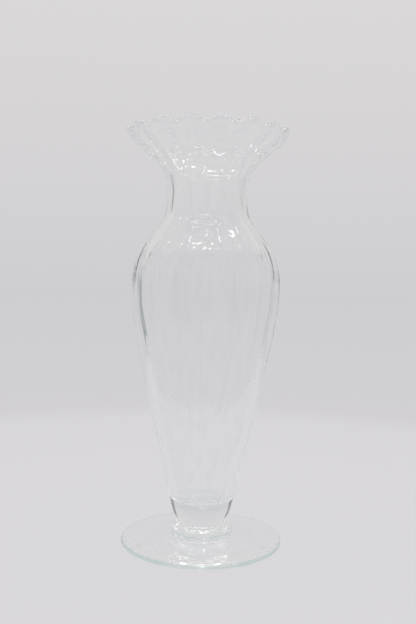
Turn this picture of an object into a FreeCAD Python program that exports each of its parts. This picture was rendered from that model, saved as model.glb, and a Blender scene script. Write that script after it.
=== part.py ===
import FreeCAD, Part
import math
import os

# Footed clear glass vase with an optic ribbed baluster bowl and a ruffled, flared rim.
# Millimetres, +Z up. The origin is the bottom centre of the foot, on the surface it stands on.

# Foot: a thin drawn disc of glass, nearly plain on top, that rises a little to a low crown
# under the collar. A shallow hollow is ground under its middle.
foot_diameter = 118.4
foot_edge_thickness = 2.8
foot_crown_height = 4.4
foot_crown_diameter = 40.0
foot_edge_round = 1.1
foot_plain_diameter = 60.0
foot_plain_height = 3.3
foot_rise_run_share = 0.42
foot_rise_drop_share = 0.71
pontil_diameter = 30.0
pontil_depth = 2.0

# Collar: the thick ring of glass between the foot and the stem, round at the side
collar_diameter = 47.0
collar_height = 9.2

# Stem: the solid block of glass under the bowl, widening upwards
stem_height = 14.6
stem_bottom_diameter = 35.0
stem_top_diameter = 45.4
stem_swell = 0.5

# Bowl: outer sizes, measured over the ribs
base_diameter = stem_top_diameter
belly_diameter = 108.7
belly_height = 188.0
shoulder_diameter = 97.2
shoulder_height = 215.0
neck_diameter = 58.6
neck_height = 252.0
rim_diameter = 119.0
overall_height = 303.0

# Bowl: wall, measured through a rib
base_wall = 7.4
belly_wall = 6.2
shoulder_wall = 4.4
neck_wall = 4.3
rim_wall = 5.2
bowl_floor_thickness = 3.2
cavity_floor_diameter = 32.2
cavity_floor_round = 2.6

# Ribs from the optic mould run up the bowl and end as the lobes of the ruffled rim.
# The rib shares say how much of each wave the inner wall follows; under zero it goes
# the other way, so that the wall is thick and thin by turns.
rib_count = 16
body_rib_depth = 0.15
shoulder_rib_depth = 0.8
neck_rib_depth = 0.1
rim_lobe_depth = 2.6
rim_lobe_rise = 2.9
body_inner_rib_share = -0.3
rim_inner_rib_share = 0.85

# Lean of the flared wall at the lip, in degrees above the level
lip_lean = 42.0

# Control points round one rib, enough for a smooth wave, and the degree of the skin's curves
points_per_rib = 6
spline_degree = 3

# Heights where the pieces are joined hot, face to face
collar_seat = foot_crown_height
stem_seat = collar_seat + collar_height
bowl_seat = stem_seat + stem_height
cavity_floor = bowl_seat + bowl_floor_thickness

# Outline of the bowl between its named rings. Each row is a share of the climb from one
# ring to the next and a share of the change of radius on that climb.
body_shares = [(0.0, 0.0), (0.17, 0.19), (0.41, 0.49), (0.66, 0.76), (0.86, 0.94)]
turn_shares = [(0.0, 0.0), (0.5, 0.17)]
shoulder_shares = [(0.0, 0.0), (0.24, 0.31), (0.45, 0.63), (0.68, 0.915)]
flare_shares = [(0.0, 0.0), (0.216, 0.012), (0.389, 0.085), (0.562, 0.28), (0.734, 0.56), (0.882, 0.84)]


def between(low, high, share):
    return low + (high - low) * share


# The lip is a half round: its middle and the two directions that span it
def lip_round():
    half = rim_wall / 2
    middle = (rim_diameter / 2 - half, overall_height - half)
    lean = math.radians(lip_lean)
    along = (math.cos(lean), math.sin(lean))
    across = (math.sin(lean), -math.cos(lean))
    return middle, half, along, across


# Rings of the bowl: height, outer radius, wall, rib depth, and how far the ring joins the ruffle
def bowl_rings():
    base = (bowl_seat, base_diameter / 2, base_wall, 0.0, 0.0)
    belly = (belly_height, belly_diameter / 2, belly_wall, body_rib_depth, 0.0)
    shoulder = (shoulder_height, shoulder_diameter / 2, shoulder_wall, shoulder_rib_depth, 0.0)
    neck = (neck_height, neck_diameter / 2, neck_wall, neck_rib_depth, 0.0)
    middle, half, along, across = lip_round()
    lip_radius = middle[0] + half * across[0]
    lip_height = middle[1] + half * across[1]
    lip = (lip_height, lip_radius, rim_wall, rim_lobe_depth, 1.0)
    rings = []
    spans = (
        (base, belly, body_shares),
        (belly, shoulder, turn_shares),
        (shoulder, neck, shoulder_shares),
        (neck, lip, flare_shares),
    )
    for low, high, shares in spans:
        for climb, swell in shares:
            height = between(low[0], high[0], climb)
            radius = between(low[1], high[1], swell)
            wall = between(low[2], high[2], climb)
            ribs = between(low[3], high[3], climb * climb if high is lip else climb)
            ruffle = climb * climb * high[4]
            rings.append((height, radius, wall, ribs, ruffle))
    rings.append(lip)
    return rings


# Unit direction across the wall at each ring, pointing out of the vase
def wall_normals(rings):
    normals = []
    for below, above in zip([rings[0]] + rings, rings[1:]):
        rise = above[0] - below[0]
        run = above[1] - below[1]
        size = math.hypot(rise, run)
        normals.append((rise / size, -run / size))
    across = lip_round()[3]
    normals.append(across)
    return normals


# One closed path across the glass, from the base up the outside, over the lip and down
# the inside, as (radius, height, rib depth, ruffle rise) in the order that it is walked
def glass_path():
    rings = bowl_rings()
    outside = []
    inside = []
    for (height, radius, wall, ribs, ruffle), (out_r, out_z) in zip(rings, wall_normals(rings)):
        rise = rim_lobe_rise * ruffle
        follow = between(body_inner_rib_share, rim_inner_rib_share, ruffle)
        outside.append((radius, height, ribs, rise))
        reach = max(height - wall * out_z, cavity_floor)
        inside.append((radius - wall * out_r, reach, ribs * follow, rise))
    middle, half, along, across = lip_round()
    lip = []
    for turn in (math.pi / 4, math.pi / 2, 3 * math.pi / 4):
        r = middle[0] + half * (across[0] * math.cos(turn) + along[0] * math.sin(turn))
        z = middle[1] + half * (across[1] * math.cos(turn) + along[1] * math.sin(turn))
        follow = between(1, rim_inner_rib_share, turn / math.pi)
        lip.append((r, z, rim_lobe_depth * follow, rim_lobe_rise))
    floor_radius = cavity_floor_diameter / 2
    corner = (floor_radius - cavity_floor_round, cavity_floor, 0.0, 0.0)
    round_end = (floor_radius, cavity_floor + cavity_floor_round, 0.0, 0.0)
    inner_base = [corner, round_end] + [row for row in inside if row[1] > cavity_floor + base_wall]
    return outside + lip + list(reversed(inner_base))


# The skin is a B-spline surface, closed round the axis, through every ring of the path
def glass_skin(path):
    columns = rib_count * points_per_rib
    step = 2 * math.pi / columns
    circle_gain = 3 / (2 + math.cos(step))
    wave_gain = 3 / (2 + math.cos(rib_count * step))
    lengths = [0.0]
    for a, b in zip(path, path[1:]):
        lengths.append(lengths[-1] + math.sqrt(math.hypot(b[0] - a[0], b[1] - a[1])))
    grid = []
    for k in range(columns):
        angle = k * step
        wave = (math.cos(rib_count * angle) * wave_gain - 1) / 2
        points = []
        for radius, height, ribs, rise in path:
            r = (radius + ribs * wave) * circle_gain
            points.append(FreeCAD.Vector(r * math.cos(angle), r * math.sin(angle), height + rise * wave))
        curve = Part.BSplineCurve()
        curve.interpolate(Points=points, Parameters=lengths)
        grid.append(curve.getPoles())
    round_knots = list(range(columns + 1))
    round_counts = [1] * len(round_knots)
    skin = Part.BSplineSurface()
    skin.buildFromPolesMultsKnots(
        grid,
        round_counts,
        curve.getMultiplicities(),
        round_knots,
        curve.getKnots(),
        True,
        False,
        spline_degree,
        spline_degree,
    )
    return skin


def make_bowl():
    face = glass_skin(glass_path()).toShape()
    rims = [edge for edge in face.Edges if edge.isClosed()]
    caps = [Part.Face(Part.Wire([edge])) for edge in rims]
    shell = Part.makeShell([face] + caps)
    shell.sewShape()
    return Part.Solid(shell)


# A turned piece: its half outline, in (radius, height), is spun round the axis
def turned(edges):
    face = Part.Face(Part.Wire(edges))
    return face.revolve(FreeCAD.Vector(0, 0, 0), FreeCAD.Vector(0, 0, 1), 360)


def at(radius, height):
    return FreeCAD.Vector(radius, 0, height)


def line(a, b):
    return Part.LineSegment(a, b).toShape()


def arc(a, middle, b):
    return Part.Arc(a, middle, b).toShape()


# A side curve with flat ends that run in to the axis, where the next pieces are joined
def closed_on_axis(side, low, high):
    axis_low = at(0, low.z)
    axis_high = at(0, high.z)
    return [line(axis_low, low), side, line(high, axis_high), line(axis_high, axis_low)]


def make_stem():
    low = at(stem_bottom_diameter / 2, stem_seat)
    high = at(stem_top_diameter / 2, bowl_seat)
    waist = at((low.x + high.x) / 2 + stem_swell, (low.z + high.z) / 2)
    return turned(closed_on_axis(arc(low, waist, high), low, high))


def make_collar():
    bead = collar_height / 2
    land = collar_diameter / 2 - bead
    low = at(land, collar_seat)
    high = at(land, stem_seat)
    middle = at(land + bead, collar_seat + bead)
    return turned(closed_on_axis(arc(low, middle, high), low, high))


def make_foot():
    edge = foot_diameter / 2
    crown = foot_crown_diameter / 2
    pontil = pontil_diameter / 2
    top = foot_crown_height
    shoulder = foot_edge_thickness
    start = at(crown, top)
    plain = at(foot_plain_diameter / 2, foot_plain_height)
    rise_radius = between(crown, plain.x, foot_rise_run_share)
    rise = at(rise_radius, between(top, plain.z, foot_rise_drop_share))
    lip_top = at(edge - foot_edge_round, shoulder)
    lip_side = at(edge, shoulder / 2)
    lip_low = at(edge - foot_edge_round, 0)
    hollow_edge = at(pontil, 0)
    hollow_top = at(0, pontil_depth)
    hollow_radius = (pontil * pontil + pontil_depth * pontil_depth) / (2 * pontil_depth)
    hollow_half = math.asin(pontil / hollow_radius) / 2
    drop = hollow_radius * (1 - math.cos(hollow_half))
    hollow_middle = at(hollow_radius * math.sin(hollow_half), pontil_depth - drop)
    axis_top = at(0, top)
    edges = [
        line(axis_top, start),
        arc(start, rise, plain),
        line(plain, lip_top),
        arc(lip_top, lip_side, lip_low),
        line(lip_low, hollow_edge),
        arc(hollow_edge, hollow_middle, hollow_top),
        line(hollow_top, axis_top),
    ]
    return turned(edges)


os.makedirs("parts", exist_ok=True)
pieces = {"foot": make_foot(), "collar": make_collar(), "stem": make_stem(), "bowl": make_bowl()}
for name, shape in pieces.items():
    box = shape.BoundBox
    print(name, shape.ShapeType, "valid", shape.isValid(), "volume", round(shape.Volume), "mm3",
          "width", round(box.XLength, 1), "from", round(box.ZMin, 2), "to", round(box.ZMax, 2))
    shape.exportStep("parts/" + name + ".step")
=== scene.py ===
# %% [markdown]
# # A footed glass vase with a ruffled rim
# The real vase is hot-worked glass. A bubble is blown in a ribbed optic mould, opened into
# a baluster bowl with a flared, crimped rim, and stuck on to a solid stem, a collar and a
# drawn foot while everything is still soft. This lesson builds the four pieces on top of
# the measured frame, gives them a clear glass finish, and lights them on a pale table.

# %% Open the frame
import math

import bmesh
import bpy
from mathutils import Matrix, Vector
from mathutils.geometry import interpolate_bezier


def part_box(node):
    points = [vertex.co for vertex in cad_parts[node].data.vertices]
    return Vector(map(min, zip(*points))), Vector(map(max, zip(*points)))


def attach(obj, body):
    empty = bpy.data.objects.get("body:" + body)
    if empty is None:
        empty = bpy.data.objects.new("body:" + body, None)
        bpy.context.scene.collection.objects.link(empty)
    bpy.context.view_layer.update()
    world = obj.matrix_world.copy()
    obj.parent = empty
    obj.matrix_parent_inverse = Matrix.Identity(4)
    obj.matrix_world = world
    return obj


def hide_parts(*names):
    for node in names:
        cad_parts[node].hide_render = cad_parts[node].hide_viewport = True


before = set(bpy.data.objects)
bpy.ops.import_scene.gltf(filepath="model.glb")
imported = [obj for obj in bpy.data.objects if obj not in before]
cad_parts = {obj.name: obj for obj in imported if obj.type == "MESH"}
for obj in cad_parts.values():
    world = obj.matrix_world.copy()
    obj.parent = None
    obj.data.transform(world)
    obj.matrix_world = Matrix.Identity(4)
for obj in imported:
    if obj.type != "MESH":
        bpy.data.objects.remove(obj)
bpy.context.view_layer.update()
foot_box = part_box("foot")
collar_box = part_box("collar")
stem_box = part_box("stem")
bowl_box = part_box("bowl")

# %% [markdown]
# ## Sizes
# Heights and the largest widths come from the frame, so the glass always fits the solids.
# What the frame can't say, such as the width of the neck or the depth of a rib, is named
# here once, in metres.

# %% Sizes of the pieces
MM = 0.001
foot_radius = foot_box[1].x
foot_top = foot_box[1].z
foot_edge = 2.8 * MM
foot_edge_round = 1.1 * MM
foot_crown_radius = 20.0 * MM
foot_plain = (30.0 * MM, 3.3 * MM)
pontil_radius = 15.0 * MM
pontil_depth = 2.0 * MM

collar_radius = collar_box[1].x
stem_low = stem_box[0].z
stem_high = stem_box[1].z
stem_low_radius = 17.5 * MM
stem_high_radius = stem_box[1].x
stem_swell = 0.5 * MM

rim_radius = bowl_box[1].x
rim_top = 303.0 * MM
belly = (188.0 * MM, 54.35 * MM)
shoulder = (215.0 * MM, 48.6 * MM)
neck = (252.0 * MM, 29.3 * MM)
base_wall = 7.4 * MM
belly_wall = 6.2 * MM
shoulder_wall = 4.4 * MM
neck_wall = 4.3 * MM
rim_wall = 5.2 * MM
floor_thickness = 3.2 * MM
floor_radius = 16.1 * MM
floor_round = 2.6 * MM

rib_count = 16
body_rib = 0.15 * MM
shoulder_rib = 0.8 * MM
neck_rib = 0.1 * MM
lobe_depth = 2.6 * MM
lobe_rise = 2.9 * MM
body_inner_share = -0.3
rim_inner_share = 0.85
lip_lean = math.radians(42)

segments_per_rib = 16
segments = rib_count * segments_per_rib
print("the round has", segments, "segments")

# %% [markdown]
# ## Helpers for turned glass
# A glass piece is a solid of revolution, so its section is drawn as a chain of vertices
# on the XZ plane and spun with the spin operator. Round stretches of a section are Bezier
# arcs between a few chosen points. The ends of a section on the axis close into poles
# once doubles are merged.

# %% Section and spin helpers
merge_distance = 0.0001 * MM
joint_slack = 0.001 * MM
joint_flatness = 0.999
joint_slot = 1


def smooth_chain(points, steps):
    """Points along a smooth curve through the given points, a few between each pair."""
    out = [points[0].copy()]
    count = len(points)
    for i in range(count - 1):
        a, b = points[i], points[i + 1]
        before = points[max(i - 1, 0)]
        after = points[min(i + 2, count - 1)]
        reach = (b - a).length
        lean_a = (b - before).normalized() * reach / 3
        lean_b = (after - a).normalized() * reach / 3
        out += interpolate_bezier(a, a + lean_a, b - lean_b, b, steps + 1)[1:]
    return out


def at(radius, height):
    return Vector((radius, 0, height))


def spin_section(name, section, joint_heights, shape_round=None):
    """Spins a chain of (point, rib, rise) rows into a closed piece of glass."""
    mesh = bmesh.new()
    rib_layer = mesh.verts.layers.float.new("rib")
    rise_layer = mesh.verts.layers.float.new("rise")
    chain = []
    for point, rib, rise in section:
        vert = mesh.verts.new(point)
        vert[rib_layer] = rib
        vert[rise_layer] = rise
        chain.append(vert)
    for a, b in zip(chain, chain[1:]):
        mesh.edges.new((a, b))
    bmesh.ops.spin(
        mesh,
        geom=mesh.verts[:] + mesh.edges[:],
        cent=(0, 0, 0),
        axis=(0, 0, 1),
        angle=2 * math.pi,
        steps=segments,
        use_merge=True,
        use_duplicate=False,
    )
    bmesh.ops.remove_doubles(mesh, verts=mesh.verts[:], dist=merge_distance)
    bmesh.ops.recalc_face_normals(mesh, faces=mesh.faces[:])
    if shape_round:
        for vert in mesh.verts:
            shape_round(vert, vert[rib_layer], vert[rise_layer])
    for face in mesh.faces:
        face.smooth = True
        level = abs(face.normal.z) > joint_flatness
        heights = [vert.co.z for vert in face.verts]
        for joint in joint_heights:
            if level and max(abs(h - joint) for h in heights) < joint_slack:
                face.material_index = joint_slot
    for edge in mesh.edges:
        kinds = {face.material_index for face in edge.link_faces}
        edge.smooth = len(kinds) < 2
    data = bpy.data.meshes.new(name)
    mesh.to_mesh(data)
    open_edges = sum(1 for edge in mesh.edges if not edge.is_manifold)
    print(name, len(mesh.verts), "vertices,", open_edges, "open edges, volume",
          round(mesh.calc_volume() * 1e6, 1), "cm3")
    mesh.free()
    piece = bpy.data.objects.new(name, data)
    bpy.context.collection.objects.link(piece)
    return piece


def plain_rows(points):
    return [(point, 0.0, 0.0) for point in points]


# %% [markdown]
# ## The bowl
# On the real vase the bowl is one blown bubble: thick at the base, thinner over the
# shoulder, thick again at the neck, and opened to a wide rim. It could be a solidified
# sheet, but the wall changes along the way, so the section walks up the outside, over
# the fire-polished lip and down the inside. After the spin each vertex moves in and down
# by a cosine wave round the axis: shallow on the body, where the optic mould left its
# ribs, and deep at the rim, where the ribs open into lobes.

# %% Rings of the bowl
body_shares = [(0.0, 0.0), (0.17, 0.19), (0.41, 0.49), (0.66, 0.76), (0.86, 0.94)]
turn_shares = [(0.0, 0.0), (0.5, 0.17)]
shoulder_shares = [(0.0, 0.0), (0.24, 0.31), (0.45, 0.63), (0.68, 0.915)]
flare_shares = [
    (0.0, 0.0), (0.216, 0.012), (0.389, 0.085), (0.562, 0.28), (0.734, 0.56), (0.882, 0.84),
]


def between(low, high, share):
    return low + (high - low) * share


lip_half = rim_wall / 2
lip_middle = Vector((rim_radius - lip_half, 0, rim_top - lip_half))
lip_along = Vector((math.cos(lip_lean), 0, math.sin(lip_lean)))
lip_across = Vector((math.sin(lip_lean), 0, -math.cos(lip_lean)))


def bowl_rings():
    """Rings up the bowl: height, outer radius, wall, rib depth and share of the ruffle."""
    base = (stem_high, stem_high_radius, base_wall, 0.0, 0.0)
    wide = (*belly, belly_wall, body_rib, 0.0)
    turn = (*shoulder, shoulder_wall, shoulder_rib, 0.0)
    throat = (*neck, neck_wall, neck_rib, 0.0)
    lip_start = lip_middle + lip_across * lip_half
    lip = (lip_start.z, lip_start.x, rim_wall, lobe_depth, 1.0)
    rings = []
    spans = (
        (base, wide, body_shares),
        (wide, turn, turn_shares),
        (turn, throat, shoulder_shares),
        (throat, lip, flare_shares),
    )
    for low, high, shares in spans:
        for climb, swell in shares:
            share = climb * climb if high is lip else climb
            rings.append((
                between(low[0], high[0], climb),
                between(low[1], high[1], swell),
                between(low[2], high[2], climb),
                between(low[3], high[3], share),
                climb * climb * high[4],
            ))
    rings.append(lip)
    return rings


rings = bowl_rings()
print("the bowl has", len(rings), "rings")

# %% [markdown]
# The inner wall follows the outer one at the wall's thickness, measured square to the
# outline. Rib depth and ruffle travel with the section as two vertex layers, so that
# the spin copies them to every segment.

# %% The bowl's section
steps_per_ring = 5
lip_turns = (math.pi / 4, math.pi / 2, 3 * math.pi / 4)


def wall_normals():
    """Unit direction out of the wall at each ring."""
    normals = []
    for below, above in zip([rings[0]] + rings, rings[1:]):
        normals.append(Vector((above[0] - below[0], 0, below[1] - above[1])).normalized())
    normals.append(lip_across)
    return normals


def bowl_section():
    cavity_floor = stem_high + floor_thickness
    rows, inside = [], []
    for (height, radius, wall, rib, share), out in zip(rings, wall_normals()):
        rise = lobe_rise * share
        follow = between(body_inner_share, rim_inner_share, share)
        rows.append((at(radius, height), rib, rise))
        inner = at(radius, height) - out * wall
        if inner.z > cavity_floor + base_wall:
            inside.append((inner, rib * follow, rise))
    for turn in lip_turns:
        point = lip_middle + lip_half * (lip_across * math.cos(turn) + lip_along * math.sin(turn))
        rows.append((point, lobe_depth * between(1, rim_inner_share, turn / math.pi), lobe_rise))
    rows += reversed(inside)
    rows.append((at(floor_radius, cavity_floor + floor_round), 0.0, 0.0))
    rows.append((at(floor_radius - floor_round, cavity_floor), 0.0, 0.0))
    points = smooth_chain([row[0] for row in rows], steps_per_ring)
    section = [(at(0, stem_high), 0.0, 0.0)]
    for i, point in enumerate(points):
        low = rows[min(i // steps_per_ring, len(rows) - 1)]
        high = rows[min(i // steps_per_ring + 1, len(rows) - 1)]
        share = (i % steps_per_ring) / steps_per_ring
        section.append((point, between(low[1], high[1], share), between(low[2], high[2], share)))
    section.append((at(0, cavity_floor), 0.0, 0.0))
    return section


def ruffle(vert, rib, rise):
    angle = math.atan2(vert.co.y, vert.co.x)
    wave = (math.cos(rib_count * angle) - 1) / 2
    radius = math.hypot(vert.co.x, vert.co.y)
    if radius > 0:
        scale = (radius + rib * wave) / radius
        vert.co.x *= scale
        vert.co.y *= scale
    vert.co.z += rise * wave


bowl = spin_section("ribbed_bowl", bowl_section(), [stem_high], ruffle)

# %% [markdown]
# ## The stem
# A solid gather of glass, tapered downwards. It has no hollow, so in the real vase it
# works as a lens with two dark sides.

# %% The stem
stem_middle = at((stem_low_radius + stem_high_radius) / 2 + stem_swell, (stem_low + stem_high) / 2)
stem_ends = (at(stem_low_radius, stem_low), at(stem_high_radius, stem_high))
stem_steps = 6
stem_side = smooth_chain([stem_ends[0], stem_middle, stem_ends[1]], stem_steps)
stem = spin_section(
    "solid_stem",
    plain_rows([at(0, stem_low), *stem_side, at(0, stem_high)]),
    [stem_low, stem_high],
)

# %% [markdown]
# ## The collar
# The thick ring of glass between foot and stem, broader than the stem, with a side that
# is a half circle. It could be a torus, but a turned section gives it the flat faces that
# it is joined by. Its faintly green rim and the bright band under the stem show well.

# %% The collar
collar_low, collar_high = collar_box[0].z, collar_box[1].z
bead = (collar_high - collar_low) / 2
collar_steps = 14
collar_side = []
for i in range(collar_steps + 1):
    turn_angle = math.pi * (i / collar_steps - 0.5)
    collar_side.append(at(
        collar_radius - bead + bead * math.cos(turn_angle),
        collar_low + bead + bead * math.sin(turn_angle),
    ))
collar = spin_section(
    "collar_bead",
    plain_rows([at(0, collar_low), *collar_side, at(0, collar_high)]),
    [collar_low, collar_high],
)

# %% [markdown]
# ## The foot
# A gather pressed and spun out to a disc. It is thin at the edge and nearly plain on top,
# so that the table shows through it undisturbed, rises to a crown under the collar, and
# is hollow underneath where the pontil mark was ground away.

# %% The foot
hollow_steps, edge_steps, plain_steps, rise_steps = 6, 8, 8, 8
rise_run_share, rise_drop_share = 0.42, 0.71
hollow_curve = (pontil_radius**2 + pontil_depth**2) / (2 * pontil_depth)
hollow_side = []
for i in range(hollow_steps + 1):
    lean = math.asin(pontil_radius / hollow_curve) * i / hollow_steps
    drop = hollow_curve * (1 - math.cos(lean))
    hollow_side.append(at(hollow_curve * math.sin(lean), pontil_depth - drop))
edge_side = []
for i in range(edge_steps + 1):
    lean = math.pi * (i / edge_steps - 0.5)
    edge_side.append(at(
        foot_radius - foot_edge_round + foot_edge_round * math.cos(lean),
        foot_edge / 2 + foot_edge / 2 * math.sin(lean),
    ))
plain_radius, plain_height = foot_plain
plain_end = at(plain_radius, plain_height)
rise = at(
    between(foot_crown_radius, plain_radius, rise_run_share),
    between(foot_top, plain_height, rise_drop_share),
)
plain_side = [edge_side[-1].lerp(plain_end, i / plain_steps) for i in range(plain_steps + 1)]
rise_side = smooth_chain([plain_side[-1], rise, at(foot_crown_radius, foot_top)], rise_steps)
top_side = plain_side + rise_side[1:]
foot = spin_section(
    "drawn_foot",
    plain_rows([*hollow_side, *edge_side, *top_side[1:], at(0, foot_top)]),
    [foot_top],
)

# %% [markdown]
# ## Clear glass
# The real glass is colourless through a thin wall and faintly green where light runs a
# long way through it: at the rim of the foot, in the collar and under the well of the
# bowl. Masks over radius and height put the green there. A Layer Weight mask paints a
# darker green on what the eye meets at a grazing angle: partly the green of a long path
# through the wall, partly painted shade for the dark edges that glass bends from a dim
# room. The blowing left slow waves, carried by a bump, and drawn threads up the wall,
# carried by a mask of streaks that are a little greyer.
# Lamps pass through by a Light Path mix, as real glass throws only a faint shadow.

# %% Surface of hand-worked glass
wave_detail = 1.5
thread_detail = 3
thread_scale = 230
thread_stretch = 0.06
thread_range = (0.45, 0.72)


def colour_ramp(node, stops):
    """Fills a Color Ramp node with (position, colour) stops."""
    ramp = node.color_ramp
    while len(ramp.elements) < len(stops):
        ramp.elements.new(0.5)
    for element, (place, colour) in zip(ramp.elements, stops):
        element.position = place
        element.color = colour


def grey(value):
    return (value, value, value, 1)


def smooth_mask(tree, value, start, end):
    """A mask that runs smoothly from 0 at start to 1 at end."""
    node = tree.nodes.new("ShaderNodeMapRange")
    node.interpolation_type = "SMOOTHSTEP"
    node.inputs["From Min"].default_value = start
    node.inputs["From Max"].default_value = end
    tree.links.new(value, node.inputs["Value"])
    return node.outputs["Result"]


def hand_worked_surface():
    """Height of the slow waves of hand-worked glass in millimetres, and a mask of streaks."""
    group = bpy.data.node_groups.new("hand_worked_surface", "ShaderNodeTree")
    for name in ("Wave Height", "Wave Scale", "Wave Stretch"):
        group.interface.new_socket(name, in_out="INPUT", socket_type="NodeSocketFloat")
    for name in ("Height", "Streaks"):
        group.interface.new_socket(name, in_out="OUTPUT", socket_type="NodeSocketFloat")
    nodes, links = group.nodes, group.links
    entry = nodes.new("NodeGroupInput")
    leave = nodes.new("NodeGroupOutput")
    coords = nodes.new("ShaderNodeTexCoord")
    squeeze = nodes.new("ShaderNodeCombineXYZ")
    squeeze.inputs["X"].default_value = 1
    squeeze.inputs["Y"].default_value = 1
    links.new(entry.outputs["Wave Stretch"], squeeze.inputs["Z"])
    stretched = nodes.new("ShaderNodeVectorMath")
    stretched.operation = "MULTIPLY"
    links.new(coords.outputs["Object"], stretched.inputs[0])
    links.new(squeeze.outputs["Vector"], stretched.inputs[1])
    noise = nodes.new("ShaderNodeTexNoise")
    noise.inputs["Detail"].default_value = wave_detail
    links.new(stretched.outputs["Vector"], noise.inputs["Vector"])
    links.new(entry.outputs["Wave Scale"], noise.inputs["Scale"])
    height = nodes.new("ShaderNodeMath")
    height.operation = "MULTIPLY"
    links.new(noise.outputs["Fac"], height.inputs[0])
    links.new(entry.outputs["Wave Height"], height.inputs[1])
    links.new(height.outputs["Value"], leave.inputs["Height"])
    drawn = nodes.new("ShaderNodeVectorMath")
    drawn.operation = "MULTIPLY"
    drawn.inputs[1].default_value = (1, 1, thread_stretch)
    links.new(coords.outputs["Object"], drawn.inputs[0])
    threads = nodes.new("ShaderNodeTexNoise")
    threads.inputs["Scale"].default_value = thread_scale
    threads.inputs["Detail"].default_value = thread_detail
    links.new(drawn.outputs["Vector"], threads.inputs["Vector"])
    streaks = smooth_mask(group, threads.outputs["Fac"], *thread_range)
    links.new(streaks, leave.inputs["Streaks"])
    return group


surface_group = hand_worked_surface()

# %% Clear glass material
clear_tint = (0.997, 1.0, 1.0, 1)
# Painted edge shade: a darker green where the glass is met at a grazing angle, partly the green of
# a long path, partly painted shade for dark edges
edge_green_and_shade = (0.80, 0.90, 0.885, 1)
shadow_tint = (0.985, 0.99, 0.99, 1)
glass_index = 1.5
grazing_power = 5.0


def clear_glass(name, waves, streak_tint, green_tint, green_radius, green_height):
    """Clear glass, greener where it lies past a radius or under a height."""
    material = bpy.data.materials.new(name)
    material.use_nodes = True
    nodes, links = material.node_tree.nodes, material.node_tree.links
    nodes.clear()
    output = nodes.new("ShaderNodeOutputMaterial")
    glass = nodes.new("ShaderNodeBsdfPrincipled")
    glass.inputs["Roughness"].default_value = 0.0
    glass.inputs["IOR"].default_value = glass_index
    glass.inputs["Transmission Weight"].default_value = 1.0
    facing = nodes.new("ShaderNodeLayerWeight")
    facing.inputs["Blend"].default_value = 0.5
    sharpen = nodes.new("ShaderNodeMath")
    sharpen.operation = "POWER"
    sharpen.inputs[1].default_value = grazing_power
    links.new(facing.outputs["Facing"], sharpen.inputs[0])
    surface = nodes.new("ShaderNodeGroup")
    surface.node_tree = surface_group
    for socket, value in zip(("Wave Height", "Wave Scale", "Wave Stretch"), waves):
        surface.inputs[socket].default_value = value

    def mixed(factor, low, high):
        """A colour mix; low may be a colour or the socket of another node."""
        node = nodes.new("ShaderNodeMix")
        node.data_type = "RGBA"
        links.new(factor, node.inputs["Factor"])
        if isinstance(low, tuple):
            node.inputs["A"].default_value = low
        else:
            links.new(low, node.inputs["A"])
        node.inputs["B"].default_value = high
        return node.outputs["Result"]

    coords = nodes.new("ShaderNodeTexCoord")
    flat = nodes.new("ShaderNodeVectorMath")
    flat.operation = "MULTIPLY"
    flat.inputs[1].default_value = (1, 1, 0)
    links.new(coords.outputs["Object"], flat.inputs[0])
    radius = nodes.new("ShaderNodeVectorMath")
    radius.operation = "LENGTH"
    links.new(flat.outputs["Vector"], radius.inputs[0])
    split = nodes.new("ShaderNodeSeparateXYZ")
    links.new(coords.outputs["Object"], split.inputs["Vector"])
    far_out = smooth_mask(material.node_tree, radius.outputs["Value"], *green_radius)
    low_down = smooth_mask(material.node_tree, split.outputs["Z"], *green_height)
    long_way = nodes.new("ShaderNodeMath")
    long_way.operation = "MAXIMUM"
    links.new(far_out, long_way.inputs[0])
    links.new(low_down, long_way.inputs[1])
    streaked = mixed(surface.outputs["Streaks"], clear_tint, streak_tint)
    # The grazing mask mixes in the painted edge shade over the glass's own colour
    edge_shaded = mixed(sharpen.outputs["Value"], streaked, edge_green_and_shade)
    links.new(mixed(long_way.outputs["Value"], edge_shaded, green_tint), glass.inputs["Base Color"])
    bump = nodes.new("ShaderNodeBump")
    bump.inputs["Distance"].default_value = MM
    bump.inputs["Strength"].default_value = 1.0
    links.new(surface.outputs["Height"], bump.inputs["Height"])
    links.new(bump.outputs["Normal"], glass.inputs["Normal"])
    through = nodes.new("ShaderNodeBsdfTransparent")
    through.inputs["Color"].default_value = shadow_tint
    path = nodes.new("ShaderNodeLightPath")
    lamp_or_bounce = nodes.new("ShaderNodeMath")
    lamp_or_bounce.operation = "MAXIMUM"
    links.new(path.outputs["Is Shadow Ray"], lamp_or_bounce.inputs[0])
    links.new(path.outputs["Is Diffuse Ray"], lamp_or_bounce.inputs[1])
    mix = nodes.new("ShaderNodeMixShader")
    links.new(lamp_or_bounce.outputs["Value"], mix.inputs["Fac"])
    links.new(glass.outputs["BSDF"], mix.inputs[1])
    links.new(through.outputs["BSDF"], mix.inputs[2])
    links.new(mix.outputs["Shader"], output.inputs["Surface"])
    return material


def hot_joint():
    """The joint between two gathers is fused, so nothing of it shows."""
    material = bpy.data.materials.new("hot_joint")
    material.use_nodes = True
    glass = material.node_tree.nodes["Principled BSDF"]
    glass.inputs["Alpha"].default_value = 0.0
    glass.inputs["Roughness"].default_value = 0.0
    return material


# Waves are a height in millimetres, a scale and a stretch up the wall
blown_waves = (0.2, 110, 0.3)
solid_waves = (0.05, 90, 1.0)
foot_waves = (0.02, 90, 1.0)
thread_tint = (0.96, 0.972, 0.969, 1)
well_green = (0.87, 0.965, 0.952, 1)
collar_green = (0.94, 0.982, 0.976, 1)
foot_green = (0.76, 0.88, 0.865, 1)
well_heights = (33 * MM, 29 * MM)
collar_side_radii = (18.5 * MM, 22.5 * MM)
foot_edge_radii = (57.8 * MM, 58.8 * MM)
# Places that no glass reaches, for a mask that stays empty
past_all, under_all = (1.0, 2.0), (-1.0, -2.0)

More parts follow.
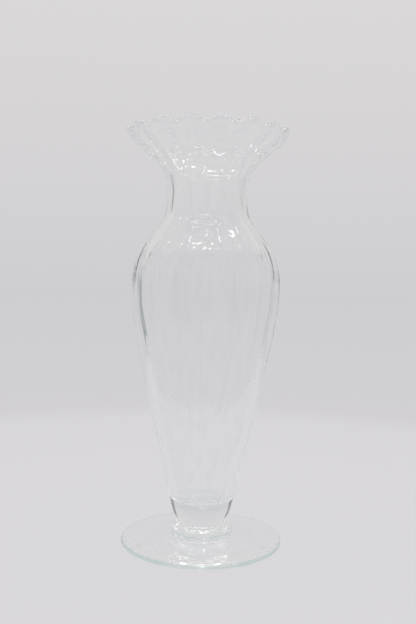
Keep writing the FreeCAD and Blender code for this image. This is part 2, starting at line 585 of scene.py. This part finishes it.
bowl_glass = clear_glass("bowl_glass", blown_waves, thread_tint,
                         well_green, past_all, well_heights)
stem_glass = clear_glass("stem_glass", solid_waves, clear_tint,
                         clear_tint, past_all, under_all)
collar_glass = clear_glass("collar_glass", solid_waves, clear_tint,
                           collar_green, collar_side_radii, under_all)
foot_glass = clear_glass("foot_glass", foot_waves, clear_tint,
                         foot_green, foot_edge_radii, under_all)
joint = hot_joint()

# %% Finish and seat the pieces
for piece, node, glass in (
    (bowl, "bowl", bowl_glass),
    (stem, "stem", stem_glass),
    (collar, "collar", collar_glass),
    (foot, "foot", foot_glass),
):
    piece.data.materials.append(glass)
    piece.data.materials.append(joint)
    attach(piece, "root")
    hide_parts(node)

# %% [markdown]
# ## Table, room and light
# A photographer's sweep: a pale table that runs back and fades into a pale backdrop. The
# table could be a bent sheet, but here it is a disc whose edge turns transparent, so no
# line shows where it ends, from any side. The backdrop is the world itself, toned by how
# high a ray points.

# %% Colours from screen values
def srgb(r, g, b):
    return tuple(((v / 255 + 0.055) / 1.055) ** 2.4 for v in (r, g, b)) + (1,)


# %% Table
table_reach = 0.7
table_sides = 96
table_drop = 0.2 * MM
table_fade = (0.60, 0.46)
table_tone = srgb(222, 220, 223)
table_roughness = 0.9
floor_mesh = bmesh.new()
bmesh.ops.create_circle(floor_mesh, cap_ends=True, radius=table_reach, segments=table_sides)
floor_data = bpy.data.meshes.new("table")
floor_mesh.to_mesh(floor_data)
floor_mesh.free()
table = bpy.data.objects.new("table", floor_data)
table.location.z = -table_drop
bpy.context.collection.objects.link(table)

table_material = bpy.data.materials.new("pale_table")
table_material.use_nodes = True
nodes, links = table_material.node_tree.nodes, table_material.node_tree.links
paper = nodes["Principled BSDF"]
paper.inputs["Base Color"].default_value = table_tone
paper.inputs["Roughness"].default_value = table_roughness
paper.inputs["Specular IOR Level"].default_value = 0.0
coords = nodes.new("ShaderNodeTexCoord")
distance = nodes.new("ShaderNodeVectorMath")
distance.operation = "LENGTH"
links.new(coords.outputs["Object"], distance.inputs[0])
fade = smooth_mask(table_material.node_tree, distance.outputs["Value"], *table_fade)
links.new(fade, paper.inputs["Alpha"])
table.data.materials.append(table_material)

# %% Room
backdrop_low, backdrop_high = -0.25, 0.40
world = bpy.data.worlds.new("room")
bpy.context.scene.world = world
world.use_nodes = True
nodes, links = world.node_tree.nodes, world.node_tree.links
backdrop = nodes["Background"]
coords = nodes.new("ShaderNodeTexCoord")
parts = nodes.new("ShaderNodeSeparateXYZ")
links.new(coords.outputs["Generated"], parts.inputs["Vector"])
climb = nodes.new("ShaderNodeMapRange")
climb.inputs["From Min"].default_value = backdrop_low
climb.inputs["From Max"].default_value = backdrop_high
links.new(parts.outputs["Z"], climb.inputs["Value"])
tone = nodes.new("ShaderNodeValToRGB")
colour_ramp(tone, (
    (0.10, srgb(210, 208, 211)),
    (0.34, srgb(206, 205, 208)),
    (0.60, srgb(213, 211, 213)),
    (0.92, srgb(218, 216, 216)),
))
links.new(climb.outputs["Result"], tone.inputs["Fac"])

# %% [markdown]
# Glass shows its edges only if there is something darker to bend into them, and beside
# the backdrop the real room is dim. A ray that was reflected inside the glass finds a
# narrow dim strip there, which draws the fine line along the inner wall. A ray that was
# only bent finds a darker part farther round, which darkens the sides of the stem.
# Everything else sees the pale backdrop.

# %% Dim room beside the backdrop
around = math.radians(-8.85)
table_line = (-0.30, -0.22)
shelf_line = (0.34, 0.24)
ceiling_line = (0.30, 0.16)
near_tone = srgb(148, 154, 154)
far_tone = srgb(96, 98, 100)
side = nodes.new("ShaderNodeVectorMath")
side.operation = "DOT_PRODUCT"
side.inputs[1].default_value = (math.sin(-around), math.cos(around), 0)
links.new(coords.outputs["Generated"], side.inputs[0])
either_side = nodes.new("ShaderNodeMath")
either_side.operation = "ABSOLUTE"
links.new(side.outputs["Value"], either_side.inputs[0])
beside = nodes.new("ShaderNodeValToRGB")
colour_ramp(beside, ((0.57, grey(0)), (0.61, grey(1)), (0.65, grey(1)), (0.69, grey(0))))
links.new(either_side.outputs["Value"], beside.inputs["Fac"])
far_beside = nodes.new("ShaderNodeValToRGB")
colour_ramp(far_beside, ((0.05, grey(0)), (0.15, grey(1)), (0.60, grey(1)), (0.66, grey(0))))
links.new(side.outputs["Value"], far_beside.inputs["Fac"])
over_table = smooth_mask(world.node_tree, parts.outputs["Z"], *table_line)
under_shelf = smooth_mask(world.node_tree, parts.outputs["Z"], *shelf_line)
under_ceiling = smooth_mask(world.node_tree, parts.outputs["Z"], *ceiling_line)
path = nodes.new("ShaderNodeLightPath")


def world_math(operation, first, second):
    """A Math node; second is the socket of another node, or a number."""
    node = nodes.new("ShaderNodeMath")
    node.operation = operation
    links.new(first, node.inputs[0])
    if isinstance(second, (int, float)):
        node.inputs[1].default_value = second
    else:
        links.new(second, node.inputs[1])
    return node.outputs["Value"]


once = 0.5
reflected = world_math("GREATER_THAN", path.outputs["Glossy Depth"], once)
unreflected = world_math("LESS_THAN", path.outputs["Glossy Depth"], once)
through = world_math("GREATER_THAN", path.outputs["Transmission Depth"], once)
bent = world_math("MULTIPLY", through, unreflected)
near_part = world_math("MULTIPLY", beside.outputs["Color"], under_ceiling)
far_part = world_math("MULTIPLY", far_beside.outputs["Color"], under_shelf)
near_share = world_math("MULTIPLY", reflected, near_part)
far_share = world_math("MULTIPLY", bent, far_part)
near_dim = world_math("MULTIPLY", near_share, over_table)
far_dim = world_math("MULTIPLY", far_share, over_table)
seen = tone.outputs["Color"]
for share, colour in ((near_dim, near_tone), (far_dim, far_tone)):
    room = nodes.new("ShaderNodeMix")
    room.data_type = "RGBA"
    room.inputs["B"].default_value = colour
    links.new(share, room.inputs["Factor"])
    links.new(seen, room.inputs["A"])
    seen = room.outputs["Result"]

# %% Light of the room
# The tones above are what the camera and the glass see. The table itself is lit by the
# whole room at a plain level, just under white.
eye_or_glossy = world_math("MAXIMUM", path.outputs["Is Camera Ray"], path.outputs["Is Glossy Ray"])
looked_at = world_math("MAXIMUM", eye_or_glossy, path.outputs["Is Transmission Ray"])
room_level = 0.86
light = nodes.new("ShaderNodeMix")
light.data_type = "RGBA"
light.inputs["A"].default_value = grey(room_level)
links.new(looked_at, light.inputs["Factor"])
links.new(seen, light.inputs["B"])
links.new(light.outputs["Result"], backdrop.inputs["Color"])

# %% [markdown]
# Small lamps overhead leave the net of sparkles on the shoulder and in the flare. One
# large lamp would leave a single white patch instead. The middle ring hangs on the near
# side only, because from the far side it would flash in the foot.

# %% Lamps
lamp_size = 0.085
lamp_power = 0.11
lamp_height = 1.1
lamp_aim = Vector((0, 0, 0.15))
# Each ring is a count, a reach from the axis, a first angle and a sweep, in degrees
lamp_rings = ((3, 0.15, 0, 360), (3, 0.40, 180, 180), (9, 0.66, 0, 360))


def small_lamp(name, place):
    lamp = bpy.data.lights.new(name, "AREA")
    lamp.shape = "DISK"
    lamp.size = lamp_size
    lamp.energy = lamp_power
    holder = bpy.data.objects.new(name, lamp)
    holder.location = place
    holder.rotation_euler = (lamp_aim - Vector(place)).to_track_quat("-Z", "Y").to_euler()
    bpy.context.collection.objects.link(holder)


for ring, (count, reach, first, sweep) in enumerate(lamp_rings):
    for i in range(count):
        lamp_turn = math.radians(first + sweep * (i + 0.5) / count) + around
        place = (reach * math.cos(lamp_turn), reach * math.sin(lamp_turn), lamp_height)
        small_lamp(f"overhead_lamp_{ring}_{i}", place)

# %% Light bounces
# A ray crosses eight walls of the vase and bounces inside the lip, so it is given more
# steps than Blender's default before it goes black.
cycles = bpy.context.scene.cycles
cycles.max_bounces = 128
cycles.transmission_bounces = 128
cycles.glossy_bounces = 64
cycles.transparent_max_bounces = 32

# %% Camera
frame_width, frame_height = 416, 624
focal_pixels = 756
long_side = 36.0
camera_back = 0.5555
camera_height = 0.1978
camera_side = 0.0021
pitch = math.radians(2.86)
roll = math.radians(1.15)
lens = bpy.data.cameras.new("camera")
lens.sensor_width = long_side
lens.lens = focal_pixels * long_side / frame_height
camera = bpy.data.objects.new("camera", lens)
turn = Matrix.Rotation(math.pi / 2 - pitch, 4, "X") @ Matrix.Rotation(roll, 4, "Z")
stand = Matrix.Translation((camera_side, -camera_back, camera_height))
camera.matrix_world = Matrix.Rotation(around, 4, "Z") @ stand @ turn
bpy.context.collection.objects.link(camera)
bpy.context.scene.camera = camera
bpy.context.scene.view_settings.view_transform = "Standard"
